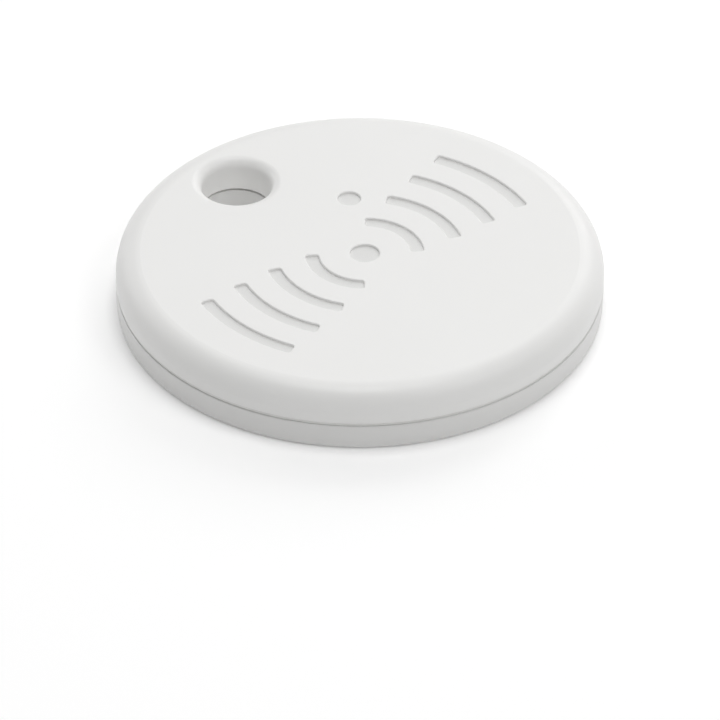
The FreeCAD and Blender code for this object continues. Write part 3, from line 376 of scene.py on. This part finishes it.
def filled_nylon(name, colour):
    """Glass-filled nylon: short streaks of fibre in the gloss and the relief."""
    finish = Finish(name, colour, 0.5)
    streaks = finish.noise(5, 3, stretch=(1, 4, 1))
    finish.shade(finish.noise(1.2, 4), 0.35)
    finish.vary_roughness(streaks, 0.38, 0.62)
    finish.emboss(streaks, 0.004)
    return finish


def solder_mask():
    """Green mask over woven glass: faint weave on the faces, bare tan laminate on the edges."""
    finish = Finish("solder_mask", (0.010, 0.085, 0.045), 0.3)
    finish.shade(finish.noise(0.4, 3), 0.25)
    warp = finish.math("SINE", finish.math("MULTIPLY", finish.axis(0), 14.0))
    weft = finish.math("SINE", finish.math("MULTIPLY", finish.axis(1), 14.0))
    finish.emboss(finish.math("MULTIPLY", warp, weft), 0.0012)
    finish.vary_roughness(finish.noise(1.5, 4), 0.24, 0.38)
    level = finish.math("ABSOLUTE", finish.facing_up())
    finish.mix_colour(finish.math("LESS_THAN", level, 0.5), (0.42, 0.33, 0.17))
    return finish


def masked_copper():
    """Copper under the mask: a lighter, brighter green."""
    finish = Finish("masked_copper", (0.020, 0.150, 0.075), 0.28)
    finish.shade(finish.noise(1.0, 3), 0.2)
    finish.emboss(finish.noise(10, 2), 0.002)
    return finish


def screen_ink():
    finish = Finish("screen_ink", (0.74, 0.74, 0.71), 0.7)
    finish.shade(finish.noise(6, 4), 0.2)
    finish.emboss(finish.noise(16, 2), 0.003)
    return finish


def chip_epoxy():
    """Black moulding compound with fine filler, a shade paler where the mould tool rubbed."""
    finish = Finish("chip_epoxy", (0.022, 0.022, 0.024), 0.55)
    finish.shade(finish.noise(2, 3), -0.5)
    finish.vary_roughness(finish.noise(8, 4), 0.45, 0.68)
    finish.emboss(finish.noise(22, 3), 0.004)
    return finish


def plated_metal(name, colour, roughness, grain=6.0, stretch=(1, 1, 1), depth=0.0008):
    """Plated or rolled metal: directional grain in gloss and relief, slight tarnish."""
    finish = Finish(name, colour, roughness, metallic=1.0)
    streaks = finish.noise(grain, 5, stretch)
    finish.shade(finish.noise(0.7, 4), 0.12)
    finish.vary_roughness(streaks, roughness - 0.08, roughness + 0.12)
    finish.emboss(streaks, depth)
    return finish


def cell_steel():
    """Nickel-plated can: rings of lathe grain, light handling scratches, a pressed step."""
    finish = Finish("cell_steel", (0.66, 0.65, 0.63), 0.3, metallic=1.0)
    radius = finish.radius(CELL)
    rings = finish.add("ShaderNodeTexNoise", noise_dimensions="1D")
    finish.feed(rings.inputs["W"], radius)
    rings.inputs["Scale"].default_value = 9.0
    rings.inputs["Detail"].default_value = 6.0
    scratches = finish.noise(3, 4, stretch=(0.15, 5, 1))
    finish.shade(finish.noise(0.4, 5), 0.10)
    finish.vary_roughness(scratches, 0.24, 0.42)
    finish.emboss(rings.outputs["Fac"], 0.0015)
    step_start, step_end = CAN_RADIUS / MM - 1.5, CAN_RADIUS / MM - 1.2
    finish.emboss(finish.ramp(radius, step_start, step_end), 0.05)
    return finish


def fired_ceramic(name, colour, roughness):
    """Fired ceramic or ferrite: fine pits and uneven firing."""
    finish = Finish(name, colour, roughness)
    finish.shade(finish.noise(2.5, 4), 0.25)
    finish.vary_roughness(finish.noise(6, 3), roughness - 0.1, roughness + 0.1)
    finish.emboss(finish.pores(14), 0.003)
    return finish


def enamelled_copper():
    finish = Finish("enamelled_copper", (0.62, 0.24, 0.09), 0.25, metallic=1.0)
    finish.shader.inputs["Coat Weight"].default_value = 0.6
    finish.shade(finish.noise(3, 3), 0.2)
    finish.emboss(finish.noise(12, 2), 0.001)
    return finish


def foam():
    """Closed-cell foam: a skin of burst cells, dark in the pits."""
    finish = Finish("cell_foam", (0.055, 0.055, 0.06), 0.85, specular=0.25)
    finish.shader.inputs["Sheen Weight"].default_value = 0.15
    cells = finish.pores(4.5)
    finish.shade(cells, 0.55)
    finish.emboss(cells, 0.05)
    finish.emboss(finish.noise(12, 3), 0.01)
    return finish


def tacky_film():
    finish = Finish("tacky_film", (0.72, 0.70, 0.56), 0.35)
    finish.shade(finish.noise(1.2, 4), 0.12)
    finish.emboss(finish.noise(2.5, 3), 0.006)
    return finish


def polyimide():
    """Amber film with drawing lines and a few trapped bubbles."""
    finish = Finish("polyimide", (0.55, 0.22, 0.03), 0.22)
    finish.shade(finish.noise(0.8, 3, stretch=(1, 6, 1)), 0.2)
    finish.vary_roughness(finish.noise(4, 3), 0.16, 0.3)
    finish.emboss(finish.noise(1.0, 2), 0.004)
    return finish


# One finish for each material slot of the record.
SLOT_FINISHES = {
    "cover_plastic": cover_plastic,
    # Painted shade: the base is the cover's white plastic, tinted darker than the cover.
    "base_plastic": lambda: moulded_plastic("base_plastic", (0.785, 0.783, 0.772), 0.42),
    "silicone": silicone,
    "frame_plastic": lambda: moulded_plastic("frame_plastic", (0.62, 0.61, 0.57), 0.38),
    "cradle_plastic": lambda: filled_nylon("cradle_plastic", (0.035, 0.035, 0.038)),
    "board_laminate": solder_mask,
    "chip_epoxy": chip_epoxy,
    "switch_body": lambda: filled_nylon("switch_body", (0.03, 0.03, 0.03)),
    "lid_metal": lambda: plated_metal("lid_metal", (0.68, 0.67, 0.64), 0.3, stretch=(1, 6, 1)),
    "ferrite": lambda: fired_ceramic("ferrite", (0.045, 0.043, 0.046), 0.6),
    "copper": enamelled_copper,
    "gold_plate": lambda: plated_metal("gold_plate", (0.83, 0.58, 0.22), 0.28),
    "solder": lambda: plated_metal("solder", (0.62, 0.62, 0.63), 0.26, grain=4.0, depth=0.004),
    "capacitor_body": lambda: fired_ceramic("capacitor_body", (0.36, 0.22, 0.12), 0.45),
    "resistor_body": lambda: fired_ceramic("resistor_body", (0.02, 0.02, 0.024), 0.35),
    "spring_steel": lambda: plated_metal("spring_steel", (0.66, 0.64, 0.60), 0.3,
                                         grain=1.5, stretch=(1, 8, 1), depth=0.0004),
    "cell_steel": cell_steel,
    "cell_plastic": lambda: moulded_plastic("cell_plastic", (0.09, 0.09, 0.09), 0.5),
    "cell_fill": lambda: fired_ceramic("cell_fill", (0.06, 0.06, 0.06), 0.8),
    "foam": foam,
    "adhesive": tacky_film,
    "amber_film": polyimide,
    "sounder_brass": lambda: plated_metal("sounder_brass", (0.74, 0.52, 0.19), 0.3,
                                          grain=4.0, stretch=(1, 10, 1)),
    "sounder_ceramic": lambda: fired_ceramic("sounder_ceramic", (0.70, 0.64, 0.52), 0.55),
    "sounder_silver": lambda: plated_metal("sounder_silver", (0.72, 0.71, 0.68), 0.45,
                                           grain=10.0, depth=0.004),
}


def finish_nodes():
    """Gives every CAD node its slot's finish, and returns the finishes by slot."""
    finishes = {slot: make() for slot, make in SLOT_FINISHES.items()}
    for part in frame["record"]["subparts"]:
        mesh = NODES[part["node"]].data
        mesh.materials.clear()
        mesh.materials.append(finishes[part["material_slot"]].material)
    return finishes


# ---------------------------------------------------------------- building pieces


def new_piece(name, bm, finish, body, smooth_angle=35):
    """A piece made from bm, with a finish, that rides on a body."""
    bmesh.ops.recalc_face_normals(bm, faces=bm.faces)
    mesh = bpy.data.meshes.new(name)
    bm.to_mesh(mesh)
    bm.free()
    mesh.materials.append(finish.material)
    mesh.shade_smooth()
    mesh.set_sharp_from_angle(angle=math.radians(smooth_angle))
    piece = bpy.data.objects.new(name, mesh)
    bpy.context.scene.collection.objects.link(piece)
    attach(piece, body)
    return piece


def lathe(bm, profile, centre, segments=128):
    """Turns a closed outline of (radius, height) points, in metres, about an upright axis."""
    rings = []
    for i in range(segments):
        turn = 2 * math.pi * i / segments
        ray = Vector((math.cos(turn), math.sin(turn), 0))
        rings.append([
            bm.verts.new((centre.x + ray.x * r, centre.y + ray.y * r, z)) for r, z in profile
        ])
    for i, ring in enumerate(rings):
        following = rings[(i + 1) % segments]
        for j in range(len(profile)):
            k = (j + 1) % len(profile)
            bm.faces.new((ring[j], following[j], following[k], ring[k]))


def rounded_outline(corners, radius, steps=5):
    """A closed outline with each corner of (r, z) replaced by an arc of the given radius."""
    outline = []
    count = len(corners)
    for i, corner in enumerate(corners):
        corner = Vector(corner)
        before = (Vector(corners[i - 1]) - corner).normalized()
        after = (Vector(corners[(i + 1) % count]) - corner).normalized()
        for step in range(steps + 1):
            t = step / steps
            start, end = corner + before * radius, corner + after * radius
            outline.append(tuple(start * (1 - t) ** 2 + corner * 2 * t * (1 - t) + end * t ** 2))
    return outline


def sweep(bm, path, width, low, high, closed=False):
    """A flat strip of the given width along a level path of (x, y) points."""
    points = [Vector((x, y)) for x, y in path]
    count = len(points)
    loops = []
    for i, point in enumerate(points):
        before = points[i - 1] if closed or i else point
        after = points[(i + 1) % count] if closed or i < count - 1 else point
        along = (after - before).normalized()
        side = Vector((-along.y, along.x)) * width / 2
        loops.append([
            bm.verts.new((*(point - side), low)),
            bm.verts.new((*(point + side), low)),
            bm.verts.new((*(point + side), high)),
            bm.verts.new((*(point - side), high)),
        ])
    for i in range(count if closed else count - 1):
        one, two = loops[i], loops[(i + 1) % count]
        for j in range(4):
            k = (j + 1) % 4
            bm.faces.new((one[j], one[k], two[k], two[j]))
    if not closed:
        bm.faces.new(loops[0])
        bm.faces.new(loops[-1][::-1])


def frustum(bm, centre, turn, base, top, low, high):
    """A block with sloping sides: base and top are (length, width), turned about +Z."""
    along = Vector((math.cos(turn), math.sin(turn), 0))
    across = Vector((-along.y, along.x, 0))
    rings = []
    for (length, width), z in ((base, low), (top, high)):
        ring = []
        for a, b in ((-1, -1), (1, -1), (1, 1), (-1, 1)):
            place = centre + along * a * length / 2 + across * b * width / 2
            ring.append(bm.verts.new((place.x, place.y, z)))
        rings.append(ring)
    bm.faces.new(rings[0][::-1])
    bm.faces.new(rings[1])
    for i in range(4):
        j = (i + 1) % 4
        bm.faces.new((rings[0][i], rings[0][j], rings[1][j], rings[1][i]))


def arc(centre, radius, start, end, step=2.0):
    """Points along an arc, with angles in degrees."""
    count = max(2, int(abs(end - start) / step) + 1)
    turns = [math.radians(start + (end - start) * i / (count - 1)) for i in range(count)]
    return [(centre.x + radius * math.cos(t), centre.y + radius * math.sin(t)) for t in turns]


def eyelet(bm, place, collar, height, segments):
    """A flat copper collar on the board, round a plated hole."""
    outer, top = VIA_BORE + collar, BOARD_TOP + height
    outline = [(VIA_BORE, BOARD_TOP), (outer, BOARD_TOP), (outer, top), (VIA_BORE, top)]
    lathe(bm, outline, place, segments)


def ring_radii(node, centre):
    """The least and greatest distance of a node's points from an upright axis."""
    reach = [(vertex.co.xy - centre.xy).length for vertex in NODES[node].data.vertices]
    return min(reach), max(reach)


def separate_solids(node):
    """The middle of each separate solid of a CAD node."""
    mesh = NODES[node].data
    keys = [tuple(round(c / (0.001 * MM)) for c in v.co) for v in mesh.vertices]
    leader = {key: key for key in keys}

    def find(key):
        while leader[key] != key:
            leader[key] = leader[leader[key]]
            key = leader[key]
        return key

    for edge in mesh.edges:
        one, two = (find(keys[i]) for i in edge.vertices)
        leader[one] = two
    solids = {}
    for key, vertex in zip(keys, mesh.vertices):
        solids.setdefault(find(key), []).append(vertex.co)
    middles = []
    for points in solids.values():
        low = Vector(map(min, zip(*points)))
        high = Vector(map(max, zip(*points)))
        middles.append((low + high) / 2)
    return middles


# ---------------------------------------------------------------- pieces


def gasket(finishes):
    """The silicone ring in the seam, with rounded corners and a bead along its top."""
    low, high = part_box("perimeter_gasket")
    inner, outer = ring_radii("perimeter_gasket", Vector())
    bead, groove = 0.22 * MM, 0.05 * MM
    corners = [(inner, low.z), (outer, low.z), (outer, high.z), (outer - bead, high.z),
               (outer - 1.3 * bead, high.z - groove), (inner + 1.3 * bead, high.z - groove),
               (inner + bead, high.z), (inner, high.z)]
    bm = bmesh.new()
    lathe(bm, rounded_outline(corners, 0.03 * MM, 3), Vector(), 192)
    piece = new_piece("gasket_ring", bm, finishes["silicone"], "base")
    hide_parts("perimeter_gasket")
    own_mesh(piece)


def seam_lip(finishes, name, centre, root, reach):
    """A silicone lip that nearly fills the open seam, from one radius to another."""
    slack = 0.005 * MM
    low, high = RIM_HEIGHT + slack, RIM_HEIGHT + SEAM_GAP - slack
    bm = bmesh.new()
    corners = [(root, low), (reach, low), (reach, high), (root, high)]
    lathe(bm, rounded_outline(corners, 0.07 * MM, 4), centre, 192)
    piece = new_piece(name, bm, finishes["silicone"], "base", 60)
    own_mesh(piece)


def seam_lips(finishes):
    """The gasket's lip round the side, and the sleeve's lip between the two halves of the bore."""
    side_inset, bore_inset = 0.06 * MM, 0.16 * MM
    root = ring_radii("perimeter_gasket", Vector())[1]
    seam_lip(finishes, "gasket_lip", Vector(), root, HIGH.x - side_inset)
    root = ring_radii("keyring_seal", HOLE_CENTRE)[0]
    seam_lip(finishes, "sleeve_lip", HOLE_CENTRE, root, HOLE_RADIUS + bore_inset)


def sleeve(finishes):
    """The silicone sleeve round the keyring tube, with rounded lips and three sealing ribs."""
    low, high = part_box("keyring_seal")
    inner, outer = ring_radii("keyring_seal", HOLE_CENTRE)
    rib, slack = 0.18 * MM, 0.06 * MM
    corners = [(inner, high.z), (inner, low.z), (outer, low.z)]
    for share in (0.25, 0.5, 0.75):
        z = low.z + (high.z - low.z) * share
        corners += [(outer - slack, z - rib), (outer, z - rib / 3), (outer, z + rib / 3),
                    (outer - slack, z + rib)]
    corners.append((outer, high.z))
    bm = bmesh.new()
    lathe(bm, rounded_outline(corners, 0.05 * MM, 3), HOLE_CENTRE, 96)
    piece = new_piece("keyring_sleeve", bm, finishes["silicone"], "base", 50)
    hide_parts("keyring_seal")


def cushion(finishes):
    """The foam pad under the roof: crowned faces and a rounded, slightly pulled-in edge."""
    low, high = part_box("cell_cushion")
    centre = (low + high) / 2
    radius = high.x - centre.x
    crown, edge, pull, hub = 0.03 * MM, 0.12 * MM, 0.02 * MM, 0.02 * MM
    steps = 8
    bottom = [(hub, low.z)]
    top = [(hub, high.z)]
    for i in range(1, steps):
        fall = crown * (i / steps) ** 2
        bottom.append((radius * i / steps, low.z + fall))
        top.append((radius * i / steps, high.z - fall))
    bottom += [(radius - edge, low.z + crown * 0.9), (radius, low.z + crown)]
    top += [(radius - edge, high.z - crown * 0.9), (radius - pull, high.z - crown)]
    bm = bmesh.new()
    lathe(bm, bottom + top[::-1], centre, 96)
    bmesh.ops.remove_doubles(bm, verts=bm.verts, dist=0.001 * MM)
    piece = new_piece("foam_pad", bm, finishes["foam"], "cover", 60)
    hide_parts("cell_cushion")
    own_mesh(piece)


def snap_disc(finishes):
    """The domed disc under the plunger, which flattens as the switch clicks."""
    low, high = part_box("switch_dome")
    centre = (low + high) / 2
    radius, rise, wall = high.x - centre.x, high.z - low.z, 0.04 * MM
    steps = 8
    upper, lower = [], []
    for i in range(steps + 1):
        r = radius * i / steps
        drop = (r / radius) ** 2 * (rise - wall)
        upper.append((r, high.z - drop))
        lower.append((r, high.z - wall - drop))
    bm = bmesh.new()
    lathe(bm, upper[1:] + lower[1:][::-1], centre, 48)
    piece = new_piece("snap_disc", bm, finishes["spring_steel"], "base", 60)
    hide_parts("switch_dome")
    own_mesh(piece)


def winding(finishes):
    """Enamelled wire wound in turns round the inductor's drum."""
    low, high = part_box("inductor_winding")
    centre = (low + high) / 2
    wire = 0.07 * MM
    coil_radius = high.x - centre.x - wire
    pitch = 2 * wire
    turns = (high.z - low.z - 2 * wire) / pitch
    per_turn, sides = 40, 8
    count = int(turns * per_turn)
    bm = bmesh.new()
    rings = []
    for i in range(count + 1):
        turn = 2 * math.pi * i / per_turn
        ray = Vector((math.cos(turn), math.sin(turn), 0))
        axis_point = centre + ray * coil_radius
        axis_point.z = low.z + wire + pitch * i / per_turn
        ring = []
        for j in range(sides):
            t = 2 * math.pi * j / sides
            ring.append(bm.verts.new(axis_point + (ray * math.cos(t) + UP * math.sin(t)) * wire))
        rings.append(ring)
    for one, two in zip(rings, rings[1:]):
        for j in range(sides):
            k = (j + 1) % sides
            bm.faces.new((one[j], one[k], two[k], two[j]))
    bm.faces.new(rings[0][::-1])
    bm.faces.new(rings[-1])
    piece = new_piece("coil_winding", bm, finishes["copper"], "base", 80)
    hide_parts("inductor_winding")


def solder_joints(finishes):
    """A small fillet of solder round the foot of every chip component's two ends."""
    foot, head, height = (0.46 * MM, 0.74 * MM), (0.23 * MM, 0.54 * MM), 0.17 * MM
    bm = bmesh.new()
    for place in separate_solids("passive_terminals"):
        turn = math.atan2(place.y, place.x)
        frustum(bm, place, turn, foot, head, BOARD_TOP, BOARD_TOP + height)
    new_piece("solder_joints", bm, finishes["solder"], "base", 20)


def capacitor_ends(finishes):
    """Tinned ends that wrap the two large capacitors."""
    low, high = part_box("bulk_capacitors")
    skin, reach, edge = 0.02 * MM, 0.55 * MM, 0.06 * MM
    length, depth = 3.2 * MM, 1.6 * MM
    bm = bmesh.new()
    for place in separate_solids("bulk_capacitors"):
        turn = math.atan2(place.y, place.x)
        across = Vector((-math.sin(turn), math.cos(turn), 0))
        size = (depth + 2 * skin, reach)
        for side in (-1, 1):
            centre = place + across * side * (length / 2 - reach / 2 + skin)
            frustum(bm, centre, turn, size, size, low.z, high.z + skin)
    bmesh.ops.bevel(bm, geom=bm.edges[:], offset=edge, segments=3, affect="EDGES")
    new_piece("capacitor_ends", bm, finishes["solder"], "base")


def board_tracks(finishes):
    """Copper tracks under the mask: bundles that follow the cell, each ending in a via."""
    tracks, vias = bmesh.new(), bmesh.new()
    width, pitch, collar = 0.15 * MM, 0.3 * MM, 0.14 * MM
    first = FLANGE_RADIUS + 0.25 * MM
    # Start and end angles round the cell, and how many tracks run side by side. Each track is
    # shorter than the one before it by these angles at its start and at its end.
    bundles = ((-74, 22, 4), (-106, -196, 4), (126, 156, 3), (28, 52, 3))
    start_step, end_step = 4, 5
    for start, end, count in bundles:
        sense = 1 if end > start else -1
        for i in range(count):
            path = arc(CELL, first + pitch * i, start + start_step * i * sense,
                       end - end_step * i * sense, step=1.5)
            sweep(tracks, path, width, BOARD_TOP, BOARD_TOP + COPPER_HEIGHT)
            for x, y in (path[0], path[-1]):
                eyelet(vias, Vector((x, y, 0)), collar, COPPER_HEIGHT * 1.5, segments=20)
    new_piece("board_tracks", tracks, masked_copper(), "base")
    stitch_edge(vias)
    new_piece("board_vias", vias, finishes["gold_plate"], "base")


def stitch_edge(vias):
    """Adds a row of ground vias along the board's rim, clear of its cut-outs and the aerial."""
    rim, step, collar = 16.55 * MM, 4, 0.12 * MM
    # Angles that stay clear, and how far each keeps the vias away on either side of it.
    finger_slots = [(turn, 9) for turn in (0, 50, 130, 180, 230, 310)]
    keyring_cutout, aerial, switch = (90, 19), (206, 19), (270, 8)
    blocked = [*finger_slots, keyring_cutout, aerial, switch]
    for turn in range(0, 360, step):
        if any(abs((turn - other + 180) % 360 - 180) < reach for other, reach in blocked):
            continue
        angle = math.radians(turn)
        place = Vector((rim * math.cos(angle), rim * math.sin(angle), 0))
        eyelet(vias, place, collar, COPPER_HEIGHT, segments=16)


def screen_print(finishes):
    """White outlines printed round the larger components, with no lettering."""
    bm = bmesh.new()
    ink_height, line, arm_length = 0.02 * MM, 0.12 * MM, 0.7 * MM
    # Component, its length and width with the gap to the outline, and its turn in degrees.
    outlines = (
        ("bluetooth_chip", 6.0, 6.0, 38),
        ("driver_chip", 4.0, 4.0, 142),
        ("boost_inductor", 3.4, 3.4, 0),
        ("main_crystal", 2.0, 2.4, 14),
        ("clock_crystal", 1.6, 2.4, 68),
        ("switch_housing", 4.1, 2.8, 0),
    )
    for node, length, width, turn in outlines:
        centre = middle(node)
        angle = math.radians(turn)
        along = Vector((math.cos(angle), math.sin(angle)))
        across = Vector((-along.y, along.x))
        corners = []
        for a, b in ((-1, -1), (1, -1), (1, 1), (-1, 1)):
            corner = centre.xy + along * a * length * MM / 2 + across * b * width * MM / 2
            corners.append(corner)
        for i, corner in enumerate(corners):
            for other in (corners[i - 1], corners[(i + 1) % 4]):
                arm = (other - corner).normalized() * arm_length
                sweep(bm, [corner, corner + arm], line, BOARD_TOP, BOARD_TOP + ink_height)
    new_piece("screen_print", bm, screen_ink(), "base")


make_camera()
make_light()
make_floor()
FINISHES = finish_nodes()
gasket(FINISHES)
sleeve(FINISHES)
seam_lips(FINISHES)
cushion(FINISHES)
snap_disc(FINISHES)
winding(FINISHES)
solder_joints(FINISHES)
capacitor_ends(FINISHES)
board_tracks(FINISHES)
screen_print(FINISHES)
